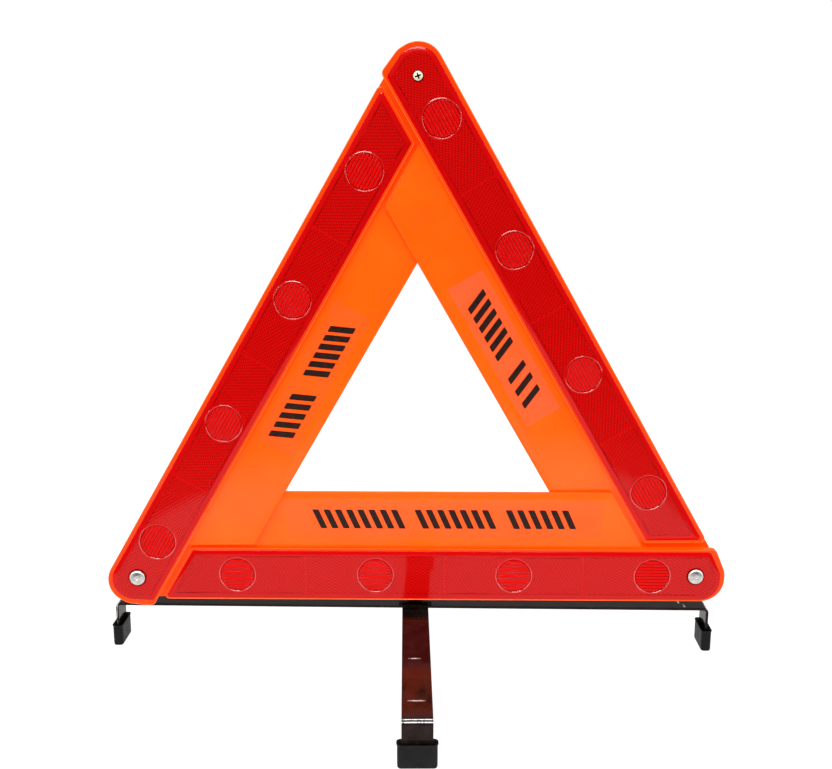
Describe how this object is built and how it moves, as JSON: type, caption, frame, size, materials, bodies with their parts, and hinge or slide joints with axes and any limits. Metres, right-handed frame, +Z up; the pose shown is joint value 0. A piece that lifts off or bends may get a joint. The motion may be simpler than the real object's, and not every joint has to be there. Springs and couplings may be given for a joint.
{
  "type": "warning triangle",
  "caption": "Folding roadside warning triangle: three interlocked orange arms with red reflector lenses, standing on a crossed black steel strip base with rubber feet.",
  "frame": {"origin": "on the ground, on the vertical axis of the rivet where the two base strips cross, which is the middle of the bounding box", "axes": "+Z up, the lenses face -Y, +X to the right seen from the front"},
  "size_m": [0.4447, 0.343, 0.4258],
  "materials": {
    "orange_plastic": "fluorescent satin moulding",
    "red_lens": "glossy prismatic retroreflector",
    "label_film": "clear glossy film",
    "aluminium": "satin",
    "zinc_steel": "yellow zinc",
    "black_steel": "gloss black paint",
    "black_rubber": "matte"
  },
  "bodies": {
    "stand": {"bar": "black_steel", "bar_foot_left": "black_rubber", "bar_foot_right": "black_rubber", "centre_rivet": "black_steel", "centre_spacer": "black_steel"},
    "cross": {"cross_strip": "black_steel", "cross_foot_front": "black_rubber", "cross_foot_back": "black_rubber"},
    "triangle": {"bottom_housing": "orange_plastic", "bottom_lens": "red_lens", "bottom_label": "label_film", "bracket": "black_steel", "bracket_screw_left": "black_steel", "bracket_screw_right": "black_steel", "left_rivet": "aluminium", "left_rivet_washer": "aluminium", "right_rivet": "aluminium", "right_rivet_washer": "aluminium"},
    "left_arm": {"left_housing": "orange_plastic", "left_lens": "red_lens", "left_label": "label_film"},
    "right_arm": {"right_housing": "orange_plastic", "right_lens": "red_lens", "right_label": "label_film", "top_screw": "zinc_steel", "top_screw_washer": "zinc_steel", "top_screw_nut": "zinc_steel"}
  },
  "joints": [
    {"name": "cross_swing", "type": "hinge", "parent": "stand", "child": "cross", "pos_m": [0, 0, 0.0302], "axis": [0, 0, 1], "range_deg": [-91.6, 88.4]},
    {"name": "triangle_swivel", "type": "hinge", "parent": "stand", "child": "triangle", "pos_m": [0, 0, 0.0365], "axis": [0, 0, 1], "range_deg": [-90, 90]},
    {"name": "left_arm_fold", "type": "hinge", "parent": "triangle", "child": "left_arm", "pos_m": [-0.19877, -0.01, 0.0576], "axis": [0, -1, 0], "range_deg": [0, 115]},
    {"name": "right_arm_fold", "type": "hinge", "parent": "triangle", "child": "right_arm", "pos_m": [0.20117, -0.01, 0.0576], "axis": [0, 1, 0], "range_deg": [0, 115]}
  ]
}
